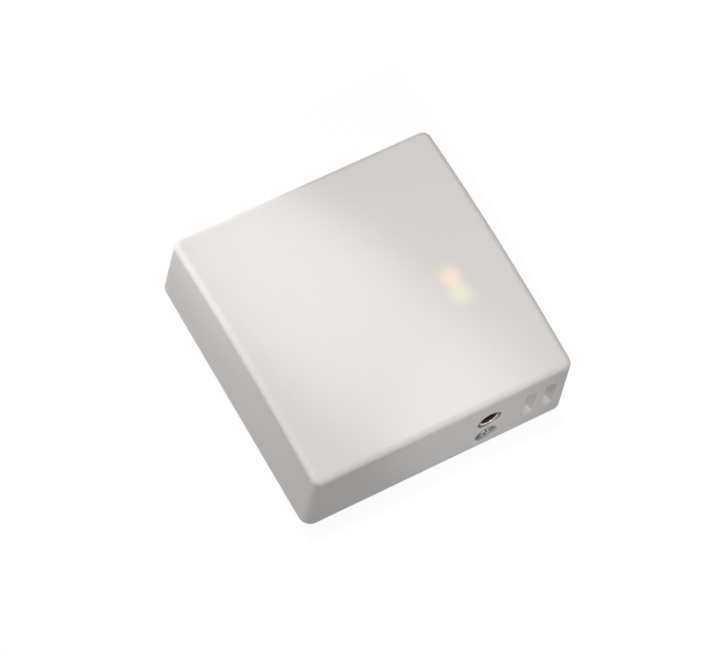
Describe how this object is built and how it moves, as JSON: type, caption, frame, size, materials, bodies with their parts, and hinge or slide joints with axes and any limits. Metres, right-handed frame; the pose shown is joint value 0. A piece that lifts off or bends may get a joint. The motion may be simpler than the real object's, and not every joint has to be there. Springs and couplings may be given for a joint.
{
  "type": "wireless room temperature sensor",
  "caption": "Square white wall-mounted room sensor with a gently arched front, air slots and a probe socket in one side wall, and status lights that glow through the cover.",
  "frame": {"origin": "middle of the back face, which lies on the wall", "axes": "+Z out of the wall towards the arched front, +Y up the wall, away from the socket and the air slots"},
  "size_m": [0.08, 0.08, 0.0269],
  "materials": {
    "cover": "fine satin mould texture",
    "plate": "satin mould texture",
    "screw_steel": "zinc plated, semi-bright",
    "collar_metal": "nickel plated, turned",
    "insert_brass": "plain turned",
    "board": "green solder resist over glass laminate",
    "cell": "sleeved steel can",
    "black_plastic": "moulded, semi-matte",
    "spring_steel": "nickel plated strip",
    "chip": "moulded package",
    "tinned": "tinned sheet",
    "antenna_metal": "gold-toned strip",
    "can_aluminium": "drawn can",
    "ceramic": "tan ceramic with tinned ends",
    "orange_lens": "clear orange",
    "green_lens": "clear green",
    "shroud": "opaque white",
    "foam": "closed-cell foam",
    "jumper": "moulded"
  },
  "bodies": {
    "root": {"front_cover": "cover", "back_plate": "plate", "cover_screw": "screw_steel", "screw_insert": "insert_brass", "circuit_board": "board", "board_screws": "screw_steel", "battery_cell": "cell", "battery_holder": "black_plastic", "positive_contact": "spring_steel", "negative_contact": "spring_steel", "socket_body": "black_plastic", "socket_collar": "collar_metal", "tip_spring": "spring_steel", "sleeve_contact": "spring_steel", "light_shroud": "shroud", "orange_led": "orange_lens", "green_led": "green_lens", "radio_board": "board", "radio_chip": "chip", "radio_shield": "tinned", "antenna": "antenna_metal", "processor": "chip", "memory_chip": "chip", "voltage_regulator": "chip", "crystal": "tinned", "storage_capacitor": "can_aluminium", "chip_capacitors": "ceramic", "chip_resistors": "chip", "pin_header": "black_plastic", "jumper_cap": "jumper", "temperature_sensor": "chip", "chamber_gasket": "foam"}
  },
  "joints": []
}
